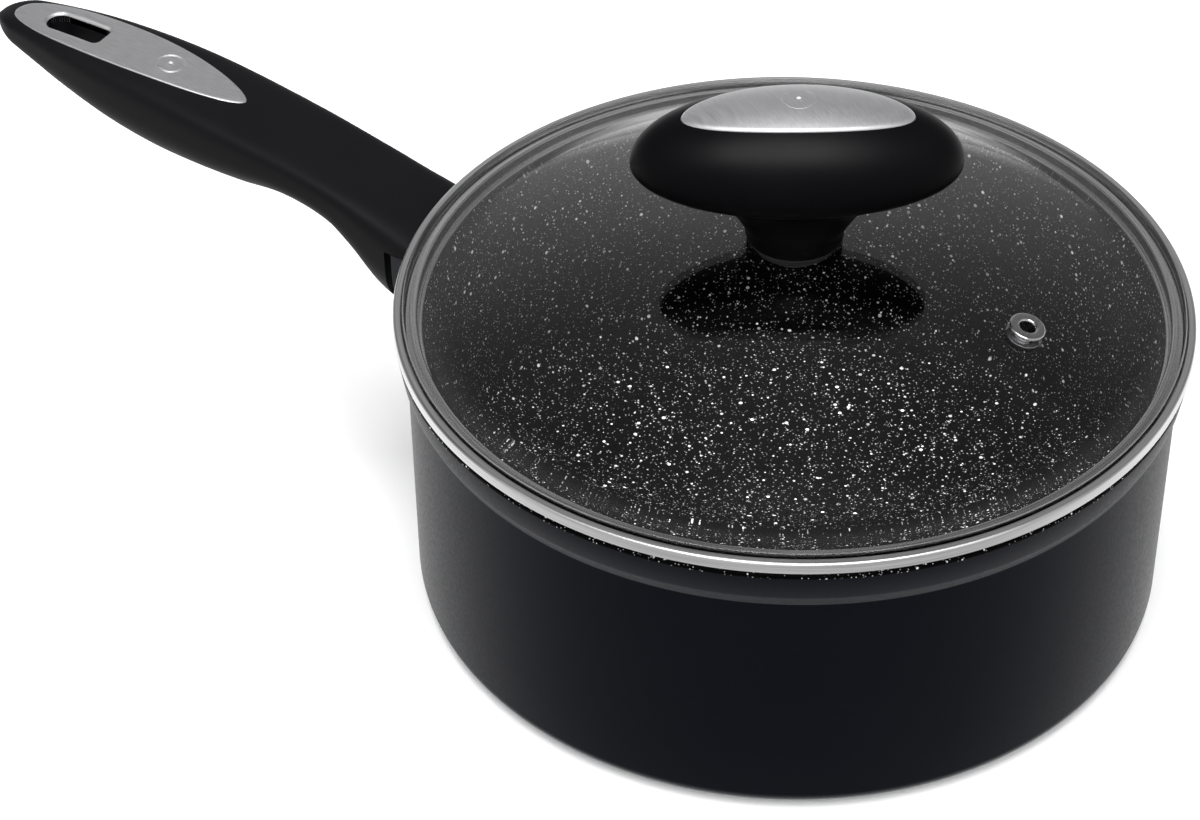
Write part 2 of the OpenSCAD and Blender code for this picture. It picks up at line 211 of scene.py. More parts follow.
def stone_nonstick():
    """Black PTFE coating sprayed with light flecks of many sizes: a stone look with a low sheen."""
    made, tree, shader, place = finish_named("stone_effect_nonstick", {
        "Roughness": 0.36, "Specular IOR Level": 0.06, "IOR": 1.38,
    })
    cloud = add(tree, "ShaderNodeTexNoise", {"Vector": place, "Scale": per(9), "Detail": 3})
    colour = blend_colours(tree, cloud.outputs["Fac"], linear("#010101"), linear("#040404"))
    for spacing, radius, shade in reversed(FLECKS):
        cell = add(tree, "ShaderNodeTexVoronoi", {"Vector": place, "Scale": per(spacing)})
        edge = radius / spacing
        inside = spread(tree, cell.outputs["Distance"], 1, 0, edge * 0.75, edge)
        chance = add(tree, "ShaderNodeSeparateColor", {"Color": cell.outputs["Color"]})
        level = spread(tree, chance.outputs["Red"], 0.25, 1, 0, 1)
        share = maths(tree, "MULTIPLY", inside, level)
        colour = blend_colours(tree, share, colour, linear(shade))
    tree.links.new(colour, shader.inputs["Base Color"])
    inputs = {"Vector": place, "Scale": per(0.55), "Detail": 3, "Roughness": 0.7}
    grit = add(tree, "ShaderNodeTexNoise", inputs)
    tree.links.new(spread(tree, grit.outputs["Fac"], 0.26, 0.44), shader.inputs["Roughness"])
    bump(tree, shader, grit.outputs["Fac"], 0.05 * MM)
    return made


def spun_lines(tree, place, spacing):
    """Noise in rings round the upright axis, as a lathe leaves on sheet metal."""
    split = add(tree, "ShaderNodeSeparateXYZ", {"Vector": place})
    flat = add(tree, "ShaderNodeCombineXYZ", {"X": split.outputs["X"], "Y": split.outputs["Y"]})
    reach = add(tree, "ShaderNodeVectorMath", {0: flat.outputs["Vector"]}, operation="LENGTH")
    rise = maths(tree, "ADD", reach.outputs["Value"], split.outputs["Z"])
    across = maths(tree, "MULTIPLY", rise, per(spacing))
    slow = add(tree, "ShaderNodeVectorMath", {0: place, "Scale": per(30)}, operation="SCALE")
    inputs = {"Vector": slow.outputs["Vector"], "W": across, "Scale": 1, "Detail": 3}
    return add(tree, "ShaderNodeTexNoise", inputs, noise_dimensions="4D").outputs["Fac"]


def spun_steel(name, dark, light, rough, spacing):
    """Stainless sheet with fine lines round it from spinning and polishing."""
    made, tree, shader, place = finish_named(name, {"Metallic": 1.0, "Roughness": rough[0]})
    lines = spun_lines(tree, place, spacing)
    colour = blend_colours(tree, spread(tree, lines, 0, 1), linear(dark), linear(light))
    tree.links.new(colour, shader.inputs["Base Color"])
    tree.links.new(spread(tree, lines, *rough), shader.inputs["Roughness"])
    bump(tree, shader, lines, 0.02 * MM)
    return made


def brushed_trim(name, turn):
    """Satin stainless inlay, brushed lengthways and then bead blasted lightly, so it glows evenly."""
    made, tree, shader, place = finish_named(name, {"Metallic": 1.0, "Roughness": 0.5})
    inputs = {"Vector": place, "Rotation": (0, 0, -turn)}
    along = add(tree, "ShaderNodeMapping", inputs, vector_type="TEXTURE").outputs["Vector"]
    stretched = add(tree, "ShaderNodeMapping", {"Vector": along, "Scale": (0.04, 1, 0.4)})
    inputs = {"Vector": stretched.outputs["Vector"], "Scale": per(0.22), "Detail": 4}
    lines = add(tree, "ShaderNodeTexNoise", inputs).outputs["Fac"]
    colour = blend_colours(tree, spread(tree, lines, 0, 1), linear("#e4e4e6"), linear("#f6f6f8"))
    tree.links.new(colour, shader.inputs["Base Color"])
    tree.links.new(spread(tree, lines, 0.48, 0.58), shader.inputs["Roughness"])
    bump(tree, shader, lines, 0.01 * MM)
    return made


def moulded_black(name, dark, light, sheen, rough, grain, depth):
    """Phenolic resin, compression moulded: black with a fine even grain and a soft broad sheen."""
    made, tree, shader, place = finish_named(name, {
        "Roughness": rough[0], "Specular IOR Level": sheen, "IOR": 1.5,
    })
    leather = add(tree, "ShaderNodeTexNoise", {"Vector": place, "Scale": per(grain), "Detail": 4})
    hand = add(tree, "ShaderNodeTexNoise", {"Vector": place, "Scale": per(22), "Detail": 2})
    colour = blend_colours(tree, hand.outputs["Fac"], linear(dark), linear(light))
    tree.links.new(colour, shader.inputs["Base Color"])
    tree.links.new(spread(tree, hand.outputs["Fac"], *rough), shader.inputs["Roughness"])
    bump(tree, shader, leather.outputs["Fac"], depth * MM)
    return made


def tempered_glass():
    """Clear soda-lime glass, heat tempered, shaded colourless: the faint green that such glass shows through
    its edge is left out.
    """
    made, tree, shader, place = finish_named("tempered_soda_lime_glass", {
        "Base Color": linear("#ffffff"), "Roughness": 0.0, "IOR": 1.52, "Transmission Weight": 1.0,
    })
    # The slight waves that tempering rollers leave.
    wave = add(tree, "ShaderNodeTexNoise", {"Vector": place, "Scale": per(45), "Detail": 1})
    bump(tree, shader, wave.outputs["Fac"], 0.03 * MM)
    # Lamps and soft light pass straight through, so the inside of the pan isn't left dark.
    ray = add(tree, "ShaderNodeLightPath")
    passes = maths(tree, "MAXIMUM", ray.outputs["Is Shadow Ray"], ray.outputs["Is Diffuse Ray"])
    clear = add(tree, "ShaderNodeBsdfTransparent", {"Color": linear("#f6f6f6")})
    either = add(tree, "ShaderNodeMixShader", {
        0: passes, 1: shader.outputs["BSDF"], 2: clear.outputs["BSDF"],
    })
    tree.links.new(either.outputs["Shader"], tree.nodes["Material Output"].inputs["Surface"])
    return made


def plated_steel(name, dark, light, rough):
    """Pressed or turned steel, bright plated: cool grey with faint tool marks."""
    made, tree, shader, place = finish_named(name, {"Metallic": 1.0, "Roughness": rough})
    marks = add(tree, "ShaderNodeTexNoise", {"Vector": place, "Scale": per(0.7), "Detail": 4})
    colour = blend_colours(tree, marks.outputs["Fac"], linear(dark), linear(light))
    tree.links.new(colour, shader.inputs["Base Color"])
    tree.links.new(spread(tree, marks.outputs["Fac"], rough, rough + 0.12), shader.inputs["Roughness"])
    bump(tree, shader, marks.outputs["Fac"], 0.01 * MM)
    return made


def moulded_silicone(name, colour, see_through):
    """Silicone rubber, moulded: a dull skin that picks up dust, cloudy where it isn't coloured."""
    made, tree, shader, place = finish_named(name, {
        "Roughness": 0.5, "IOR": 1.41, "Transmission Weight": see_through,
    })
    dust = add(tree, "ShaderNodeTexNoise", {"Vector": place, "Scale": per(0.8), "Detail": 3})
    shade = blend_colours(tree, dust.outputs["Fac"], linear(colour), linear("#8f8f8f"))
    inputs = {0: 0.12, COLOUR_A: linear(colour), COLOUR_B: shade}
    mixed = add(tree, "ShaderNodeMix", inputs, data_type="RGBA")
    tree.links.new(mixed.outputs[COLOUR_OUT], shader.inputs["Base Color"])
    tree.links.new(spread(tree, dust.outputs["Fac"], 0.42, 0.6), shader.inputs["Roughness"])
    return made


enamel = baked_enamel()
nonstick = stone_nonstick()
faced_aluminium = spun_steel("lathe_faced_aluminium", "#b9babd", "#dcdde0", rough=(0.24, 0.36), spacing=0.35)
magnetic_steel = spun_steel("magnetic_stainless_430", "#a3a4a6", "#c6c7c9", rough=(0.28, 0.42), spacing=0.3)
rim_steel = spun_steel("spun_stainless_rim", "#cfcfd0", "#f8f8f8", rough=(0.28, 0.42), spacing=0.22)
rolled_steel = spun_steel("bright_rolled_stainless", "#c4c4c6", "#f8f8f8", rough=(0.1, 0.22), spacing=0.3)
polished_steel = spun_steel("polished_stainless_eyelet", "#c8c8ca", "#e4e4e6", (0.06, 0.12), spacing=0.3)
handle_trim_steel = brushed_trim("satin_stainless_handle_trim", 0)
knob_trim_steel = brushed_trim("satin_stainless_knob_trim", knob_bearing)
soft_touch = moulded_black(
    "soft_touch_phenolic", "#0a0a0c", "#0f0f12", sheen=0.14, rough=(0.48, 0.58), grain=0.5, depth=0.02,
)
knob_phenolic = moulded_black(
    "soft_touch_phenolic_knob", "#030304", "#050506", sheen=0.045, rough=(0.38, 0.44), grain=0.45,
    depth=0.012,
)
collar_phenolic = moulded_black(
    "plain_phenolic_collar", "#1a1b1e", "#222326", sheen=0.2, rough=(0.48, 0.58), grain=0.8, depth=0.03,
)
glass = tempered_glass()
bracket_steel = plated_steel("pressed_steel_bracket", "#8a8b8e", "#a3a4a7", 0.34)
screw_steel = plated_steel("zinc_plated_steel", "#b0b1b4", "#cfd0d3", 0.26)
boss_aluminium = plated_steel("as_forged_aluminium", "#a9aaad", "#c7c8cb", 0.42)
brass = plated_steel("turned_brass", "#b08d3f", "#c9a552", 0.28)
clear_silicone = moulded_silicone("clear_silicone", "#d9dbdb", 0.5)
black_silicone = moulded_silicone("black_silicone", "#111113", 0.0)


# ---------------------------------------------------------------- building
def arc(cx, cy, r, start, end, steps):
    """Points on an arc about (cx, cy), with its angles in degrees."""
    angles = [math.radians(start + (end - start) * i / steps) for i in range(steps + 1)]
    return [(cx + r * math.cos(a), cy + r * math.sin(a)) for a in angles]


def power(value, exponent):
    """value to an exponent, keeping its sign."""
    return math.copysign(abs(value) ** exponent, value)


def new_piece(name, mesh, body, nodes, materials=()):
    """Puts a mesh in the scene as a piece that rides on a body and stands for these CAD nodes."""
    piece = bpy.data.objects.new(name, mesh)
    bpy.context.scene.collection.objects.link(piece)
    for material in materials:
        mesh.materials.append(material)
    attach(piece, body)
    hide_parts(*nodes)
    return piece


def tidy_shell(mesh, crease=32):
    """Merges doubles, points the faces outwards, and shades smooth up to the crease angle."""
    shell = bmesh.new()
    shell.from_mesh(mesh)
    bmesh.ops.remove_doubles(shell, verts=shell.verts, dist=1e-7)
    bmesh.ops.recalc_face_normals(shell, faces=shell.faces)
    shell.to_mesh(mesh)
    shell.free()
    mesh.shade_smooth()
    mesh.set_sharp_from_angle(angle=math.radians(crease))


def mesh_from(points, faces, name):
    """A mesh from points and faces."""
    mesh = bpy.data.meshes.new(name)
    mesh.from_pydata([tuple(p) for p in points], [], faces)
    return mesh


def plain_mesh(thing, name):
    """What an object looks like with its modifiers, as a mesh of its own. The object goes."""
    evaluated = thing.evaluated_get(bpy.context.evaluated_depsgraph_get())
    mesh = bpy.data.meshes.new_from_object(evaluated)
    mesh.name = name
    bpy.data.objects.remove(thing)
    finishes = [m for m in mesh.materials if m]
    mesh.materials.clear()
    for finish in finishes:
        mesh.materials.append(finish)
    return mesh


def helper(mesh):
    """An object that only carries a mesh through its modifiers."""
    thing = bpy.data.objects.new(mesh.name, mesh)
    bpy.context.scene.collection.objects.link(thing)
    return thing


def cut(mesh, cutters, crease=32):
    """The mesh with the closed cutters taken out of it, tidied."""
    thing = helper(mesh)
    tools = [helper(cutter) for cutter in cutters]
    for tool in tools:
        modifier = thing.modifiers.new("cut", "BOOLEAN")
        modifier.object = tool
        modifier.solver = "EXACT"
    result = plain_mesh(thing, mesh.name)
    for tool in tools:
        bpy.data.objects.remove(tool)
    tidy_shell(result, crease)
    return result


def set_inputs(modifier, values):
    """Sets a Geometry Nodes modifier's inputs by name, through each socket's identifier."""
    for item in modifier.node_group.interface.items_tree:
        if item.in_out == "INPUT" and item.name in values:
            modifier[item.identifier] = values[item.name]


def new_tree(name, sockets):
    """A Geometry Nodes tree with these named inputs, its input node and its output node."""
    tree = bpy.data.node_groups.new(name, "GeometryNodeTree")
    tree.interface.new_socket("Geometry", in_out="OUTPUT", socket_type="NodeSocketGeometry")
    tree.interface.new_socket("Geometry", in_out="INPUT", socket_type="NodeSocketGeometry")
    for socket, kind in sockets.items():
        tree.interface.new_socket(socket, in_out="INPUT", socket_type=kind)
    return tree, add(tree, "NodeGroupInput"), add(tree, "NodeGroupOutput")


def turning_tree():
    """Turns a profile, drawn in the XZ plane as a row of edges, round the upright axis."""
    sockets = {"Turns": "NodeSocketInt", "Finish": "NodeSocketMaterial"}
    tree, given, out = new_tree("turned_profile", sockets)
    profile = given.outputs["Geometry"]
    turns = given.outputs["Turns"]
    rows = add(tree, "GeometryNodeAttributeDomainSize", {"Geometry": profile}).outputs["Point Count"]
    columns = maths(tree, "ADD", turns, 1)
    grid = add(tree, "GeometryNodeMeshGrid", {"Vertices X": columns, "Vertices Y": rows})
    index = add(tree, "GeometryNodeInputIndex").outputs["Index"]
    row = maths(tree, "MODULO", index, rows)
    column = maths(tree, "FLOOR", maths(tree, "DIVIDE", index, rows))
    angle = maths(tree, "MULTIPLY", maths(tree, "DIVIDE", column, turns), math.tau)
    place = add(tree, "GeometryNodeInputPosition").outputs["Position"]
    sample = add(
        tree, "GeometryNodeSampleIndex", {"Geometry": profile, "Index": row},
        data_type="FLOAT_VECTOR", domain="POINT",
    )
    value = next(s for s in sample.inputs if s.name == "Value" and s.enabled)
    tree.links.new(place, value)
    found = next(s for s in sample.outputs if s.enabled)
    inputs = {"Vector": found, "Angle": angle}
    turned = add(tree, "ShaderNodeVectorRotate", inputs, rotation_type="Z_AXIS")
    moved = add(tree, "GeometryNodeSetPosition", {
        "Geometry": grid.outputs["Mesh"], "Position": turned.outputs["Vector"],
    })
    inputs = {"Geometry": moved.outputs["Geometry"], "Distance": 0.001 * MM}
    closed = add(tree, "GeometryNodeMergeByDistance", inputs)
    solid = add(tree, "GeometryNodeRealizeInstances", {"Geometry": closed.outputs["Geometry"]})
    dressed = add(tree, "GeometryNodeSetMaterial", {
        "Geometry": solid.outputs["Geometry"], "Material": given.outputs["Finish"],
    })
    tree.links.new(dressed.outputs["Geometry"], out.inputs["Geometry"])
    return tree


TURNING = turning_tree()


def turned(name, profile, turns, material, crease=32):
    """A closed mesh turned from a profile of (radius, height) points. An open one ends on the axis."""
    if profile[0][0] > 0:
        profile = [*profile, profile[0]]
    edges = [(i, i + 1) for i in range(len(profile) - 1)]
    mesh = bpy.data.meshes.new(name)
    mesh.from_pydata([(r, 0, z) for r, z in profile], edges, [])
    thing = helper(mesh)
    modifier = thing.modifiers.new("turn", "NODES")
    modifier.node_group = TURNING
    set_inputs(modifier, {"Turns": turns, "Finish": material})
    mesh = plain_mesh(thing, name)
    tidy_shell(mesh, crease)
    return mesh


def pin(name, r, z0, z1, turns):
    """A closed upright cylinder about the axis, for cutting with."""
    return turned(name, [(0, z0), (r, z0), (r, z1), (0, z1)], turns, glass)


# ---------------------------------------------------------------- the pan
def pan_profile():
    """Outline of the forged shell from the middle of its underside round to the middle of its floor."""
    inner_r = pan_r - wall_t
    return [
        (0, plate_t), (plate_r - 0.2 * MM, plate_t), (plate_r, plate_t - 0.2 * MM), (plate_r, 0.15 * MM),
        (plate_r + 0.15 * MM, 0), *arc(pan_r - base_fillet, base_fillet, base_fillet, -90, 0, 20),
        (pan_r, 20 * MM), (pan_r, 45 * MM), (pan_r, step_z - 0.8 * MM),
        *arc(pan_r + 0.4 * MM, step_z - 0.1 * MM, 0.4 * MM, 180, 155, 4),
        (shoulder_r - 0.15 * MM, shoulder_z - 0.5 * MM),
        (shoulder_r + 0.05 * MM, shoulder_z + 0.2 * MM),
        *arc(lip_c, pan_top - lip_r, lip_r, -6, 186, 24),
        (shoulder_r - wall_t, shoulder_z), (inner_r, step_z), (inner_r, 45 * MM), (inner_r, 25 * MM),
        *arc(inner_r - floor_fillet, floor_t + floor_fillet, floor_fillet, 0, -90, 24),
        (70 * MM, floor_t), (45 * MM, floor_t), (20 * MM, floor_t), (0, floor_t),
    ]


def build_pan():
    """The shell: enamel outside, nonstick inside and over the lip, a bright edge below."""
    mesh = turned("pan_body", pan_profile(), 288, enamel)
    mesh.materials.append(nonstick)
    mesh.materials.append(faced_aluminium)
    for face in mesh.polygons:
        reach = math.hypot(face.center.x, face.center.y)
        inside = reach < pan_r - wall_t / 2 and face.center.z > 2 * MM
        if inside or face.center.z > coating_edge or (reach < lip_c and face.center.z > shoulder_z):
            face.material_index = 1
        elif face.center.z < bright_edge:
            face.material_index = 2
    return new_piece("pan_body", mesh, "pan", ["pan_shell"])


def stud_tree():
    """Round studs in rings on the base disc, six more in each ring than in the last."""
    tree, given, out = new_tree("ringed_studs", {
        "Rings": "NodeSocketInt", "Spacing": "NodeSocketFloat", "Stud radius": "NodeSocketFloat",
        "Stud height": "NodeSocketFloat", "Finish": "NodeSocketMaterial",
    })

    rings = given.outputs["Rings"]
    count = maths(tree, "MULTIPLY", maths(tree, "MULTIPLY", rings, maths(tree, "ADD", rings, 1)), 3)
    points = add(tree, "GeometryNodePoints", {"Count": count})
    number = maths(tree, "ADD", add(tree, "GeometryNodeInputIndex").outputs["Index"], 1)
    root = maths(tree, "SQRT", maths(tree, "ADD", maths(tree, "MULTIPLY", number, 12), 9))
    ring = maths(tree, "CEIL", maths(tree, "DIVIDE", maths(tree, "SUBTRACT", root, 3), 6))
    before = maths(tree, "MULTIPLY", maths(tree, "MULTIPLY", ring, maths(tree, "SUBTRACT", ring, 1)), 3)
    share = maths(tree, "DIVIDE", maths(tree, "SUBTRACT", number, before), maths(tree, "MULTIPLY", ring, 6))
    angle = maths(tree, "MULTIPLY", share, math.tau)
    reach = maths(tree, "MULTIPLY", ring, given.outputs["Spacing"])
    place = add(tree, "ShaderNodeCombineXYZ", {
        "X": maths(tree, "MULTIPLY", reach, maths(tree, "COSINE", angle)),
        "Y": maths(tree, "MULTIPLY", reach, maths(tree, "SINE", angle)),
        "Z": maths(tree, "MULTIPLY", given.outputs["Stud height"], 0.5),
    })
    set_out = add(tree, "GeometryNodeSetPosition", {
        "Geometry": points.outputs["Points"], "Position": place.outputs["Vector"],
    })
    stud = add(tree, "GeometryNodeMeshCylinder", {
        "Vertices": 20, "Radius": given.outputs["Stud radius"], "Depth": given.outputs["Stud height"],
    })
    copies = add(tree, "GeometryNodeInstanceOnPoints", {
        "Points": set_out.outputs["Geometry"], "Instance": stud.outputs["Mesh"],
    })
    solid = add(tree, "GeometryNodeRealizeInstances", {"Geometry": copies.outputs["Instances"]})
    dressed = add(tree, "GeometryNodeSetMaterial", {
        "Geometry": solid.outputs["Geometry"], "Material": given.outputs["Finish"],
    })
    tree.links.new(dressed.outputs["Geometry"], out.inputs["Geometry"])
    return tree


def build_base():
    """The magnetic disc pressed into the base, and the studs that hold it, flush with the table."""
    stud_h = 0.35 * MM
    face_z = 0.15 * MM
    top = plate_t - 0.02 * MM
    profile = [
        (0, face_z), (plate_r - 0.5 * MM, face_z), (plate_r - 0.15 * MM, face_z + 0.25 * MM),
        (plate_r - 0.15 * MM, top), (0, top),
    ]
    disc = turned("base_disc", profile, 192, magnetic_steel)
    new_piece("base_disc", disc, "pan", ["base_plate"])
    thing = helper(bpy.data.meshes.new("base_studs"))
    modifier = thing.modifiers.new("studs", "NODES")
    modifier.node_group = stud_tree()
    set_inputs(modifier, {
        "Rings": 11, "Spacing": 6.4 * MM, "Stud radius": 1.5 * MM, "Stud height": stud_h,
        "Finish": faced_aluminium,
    })
    studs = plain_mesh(thing, "base_studs")
    new_piece("base_studs", studs, "pan", ["base_plate"])


pan_body = build_pan()
build_base()


# ---------------------------------------------------------------- the lid
def dome(r, sphere, edge):
    """Height of a face of the glass at radius r: a sphere that runs out into a flat edge."""
    rise = dome_c + math.sqrt(sphere * sphere - r * r) - edge
    soft = 1.2 * MM
    return edge + (rise + math.sqrt(rise * rise + soft * soft)) / 2


flat_top = rim_top + 1 * MM
ledge_rise = 0.6 * MM
VENT = (
    Matrix.Rotation(vent_bearing, 4, "Z") @ Matrix.Translation((0, 0, dome_c))
    @ Matrix.Rotation(vent_slope, 4, "Y") @ Matrix.Translation((0, 0, dome_r))
)


def build_glass():
    """The domed glass with its ground edge inside the rim, the knob's hole and the vent's hole."""
    step = 2 * MM
    radii = [knob_hole_r] + [i * step for i in range(3, 49)]
    edge_top = rim_top - rim_t - 0.05 * MM
    bevel = rim_r - rim_cover - 0.3 * MM
    corner = 0.5 * MM
    lip = 0.6 * MM
    profile = (
        [(r, dome(r, dome_r - glass_t, glass_z + ledge_rise + 0.05 * MM)) for r in radii]
        + [(glass_r - 3.2 * MM, glass_z + 0.6 * ledge_rise), (glass_r - 0.4 * MM, glass_z + 0.05 * MM)]
        + [(glass_r, glass_z + 0.4 * MM)]
        + [(glass_r, edge_top - corner), (glass_r - corner, edge_top), (bevel, edge_top)]
        + arc(bevel - lip, flat_top - lip, lip, 0, 90, 10)
        + [(r, dome(r, dome_r, flat_top)) for r in reversed(radii)]
    )
    mesh = turned("lid_glass_dome", profile, 288, glass)
    drill = pin("vent_drill", vent_hole_r, -9 * MM, 9 * MM, 48)
    drill.transform(VENT)
    mesh = cut(mesh, [drill])
    new_piece("lid_glass_dome", mesh, "lid", ["lid_glass"])


def build_rim():
    """The rolled steel rim: a band round the glass, a ledge under it, and a skirt with a rolled bead."""
    corner = 0.9 * MM
    inner = rim_r - rim_cover
    profile = (
        arc(rim_r - corner, rim_top - corner, corner, 0, 90, 10)
        + [(inner + 0.2 * MM, rim_top), (inner, rim_top - 0.15 * MM), (inner, rim_top - rim_t)]
        + arc(rim_r - corner, rim_top - corner, corner - rim_t, 90, 0, 8)
        + [(rim_r - rim_t, glass_z), (rim_r - 1.6 * MM, glass_z + 0.02 * MM)]
        + [(rim_r - 3 * MM, glass_z + 0.3 * ledge_rise), (rim_r - 4.4 * MM, glass_z + 0.8 * ledge_rise)]
        + arc(skirt_r + 0.2 * MM, glass_z + ledge_rise - 0.6 * MM, 0.6 * MM, 80, 180, 10)
        + arc(skirt_r - bead_r, skirt_z + bead_r, bead_r, 60, 330, 24)
        + [(skirt_r, skirt_z + bead_r), (skirt_r, lid_z)]
        + [(rim_r - 0.3 * MM, lid_z), (rim_r, lid_z + 0.3 * MM)]
    )
    mesh = turned("lid_rim_band", profile, 288, rim_steel)
    # Inside, the sheet is left bright as rolled.
    mesh.materials.append(rolled_steel)
    for face in mesh.polygons:
        if math.hypot(face.center.x, face.center.y) < inner - 0.05 * MM:
            face.material_index = 1
    new_piece("lid_rim_band", mesh, "lid", ["lid_rim"])


def build_vent():
    """The polished eyelet that lines the vent, and the washer that it is rolled over below."""
    bore = 2.05 * MM
    barrel = 2.55 * MM
    foot = -glass_t - 0.9 * MM
    profile = (
        [(bore, foot + 0.1 * MM), (bore + 0.1 * MM, foot), (barrel, foot)]
        + [(barrel, 0.3 * MM), (4.5 * MM, 0.3 * MM)]
        + arc(4.1 * MM, 0.7 * MM, 0.6 * MM, -40, 90, 12)
        + arc(2.75 * MM, 0.6 * MM, 0.7 * MM, 90, 180, 12)
    )
    mesh = turned("vent_eyelet_ring", profile, 72, polished_steel)
    mesh.transform(VENT)
    new_piece("vent_eyelet_ring", mesh, "lid", ["vent_eyelet"])
    low = -glass_t - 0.85 * MM
    ring = [
        (2.6 * MM, low + 0.1 * MM), (2.7 * MM, low), (4.5 * MM, low), (4.7 * MM, low + 0.2 * MM),
        (4.7 * MM, low + 0.6 * MM), (4.6 * MM, low + 0.7 * MM), (2.6 * MM, low + 0.7 * MM),
    ]
    mesh = turned("vent_washer_ring", ring, 72, polished_steel)
    mesh.transform(VENT)
    new_piece("vent_washer_ring", mesh, "lid", ["vent_washer"])


build_glass()
build_rim()
build_vent()


# ---------------------------------------------------------------- the knob
# The knob's underside where it runs into the stem: height, half length, half width, in millimetres.
UNDERSIDE = [
    (118.7, 26.4, 15), (117.5, 21.8, 14.9), (115.7, 18.2, 14.9), (113.4, 16, 14.8), (111, 14.4, 14.2),
    (108.8, 13.2, 13.2), (107, 12.65, 12.65), (105.4, 12.5, 12.5), (104.7, 12.35, 12.35),
]
knob_turn = Matrix.Rotation(knob_bearing, 4, "Z")


def smooth_between(rows, t):
    """A row of numbers at place t, in steps of one, on a smooth curve through the rows."""
    i = min(int(t), len(rows) - 2)
    f = t - i
    before, here, there, after = (rows[max(0, min(len(rows) - 1, i + k))] for k in (-1, 0, 1, 2))
    return [
        b + ((c - a) * f + (2 * a - 5 * b + 4 * c - d) * f * f + (3 * b - a - 3 * c + d) * f ** 3) / 2
        for a, b, c, d in zip(before, here, there, after)
    ]


def knob_rings():
    """Rings of the knob from its top to its foot: height, half length, half width."""
    rings = []
    for step in range(3, 65):
        a = math.radians(90 - step * 2.1)
        if a > 0:
            wide, rise = math.cos(a), knob_up * math.sin(a)
        else:
            wide = power(math.cos(a), 2 / knob_low_square)
            rise = knob_down * power(math.sin(a), 2 / knob_low_square)
        rings.append((knob_mid + rise, knob_a * wide, knob_b * wide))
    rows = [rings[-1], *[tuple(v * MM for v in row) for row in UNDERSIDE]]
    rings += [smooth_between(rows, i / 4) for i in range(1, 4 * (len(rows) - 1) + 1)]
    return rings


def stacked(name, rings, around, ends):
    """A closed mesh over oval rings (height, half length, half width), with its two end points."""
    points = []
    for z, a, b in rings:
        for k in range(around):
            turn = math.tau * k / around
            points.append((a * math.cos(turn), b * math.sin(turn), z))
    points += [(0, 0, ends[0]), (0, 0, ends[1])]
    faces = []
    last = len(rings) - 1
    for k in range(around):
        n = (k + 1) % around
        for i in range(0, last * around, around):
            faces.append((i + k, i + n, i + around + n, i + around + k))
        faces.append((k, len(points) - 2, n))
        faces.append((last * around + k, last * around + n, len(points) - 1))
    return mesh_from(points, faces, name)


def oval(a, b):
    """Points round an oval of these half lengths."""
    around = [math.tau * k / 144 for k in range(144)]
    return [(a * math.cos(turn), b * math.sin(turn)) for turn in around]


def knob_face(x, y, grow):
    """Height of the knob's upper face at a place on it, grown by grow."""
    a, b = knob_a + grow, knob_b + grow
    return knob_mid + (knob_up + grow) * math.sqrt(max(0, 1 - (x / a) ** 2 - (y / b) ** 2))


def patch(name, outline, centre, rows, upper, lower, hole=None, crease=32):
    """A closed plate between two height functions, over the region inside outline and outside hole.

    The rows share out the way from the centre, or from the hole's line, to the outline.
    """
    around = len(outline)
    points = []
    for height in (upper, lower):
        for share in rows:
            for k in range(around):
                ox, oy = outline[k]
                hx, hy = hole[k] if hole else centre
                x, y = hx + (ox - hx) * share, hy + (oy - hy) * share
                points.append((x, y, height(x, y, share)))
    count = len(rows)
    faces = []
    for k in range(around):
        n = (k + 1) % around
        for i in range(count - 1):
            for side in (0, count):
                a, b = (side + i) * around, (side + i + 1) * around
                faces.append((a + k, b + k, b + n, a + n))
        edges = [(count - 1, 2 * count - 1)] + ([(0, count)] if hole else [])
        for a, b in edges:
            faces.append((a * around + k, a * around + n, b * around + n, b * around + k))
    mesh = mesh_from(points, faces, name)
    tidy_shell(mesh, crease)
    return mesh


def ring_mark(centre, slope, radius, depth):
    """Cutters for a plain engraved mark: a ring with a dot in it, lying on the face at centre."""
    width = 0.5 * MM
    ring = turned("mark_ring", [
        (radius - width, 1 * MM), (radius - width, 0), (radius - 0.5 * width, -depth),
        (radius + 0.5 * width, -depth), (radius + width, 0), (radius + width, 1 * MM),
    ], 64, glass)
    dot = turned("mark_dot", [
        (0, 1 * MM), (2 * width, 1 * MM), (2 * width, 0), (1.2 * width, -depth), (0, -depth),
    ], 32, glass)
    for mesh in (ring, dot):
        mesh.transform(Matrix.Translation(centre) @ slope)
    return [ring, dot]


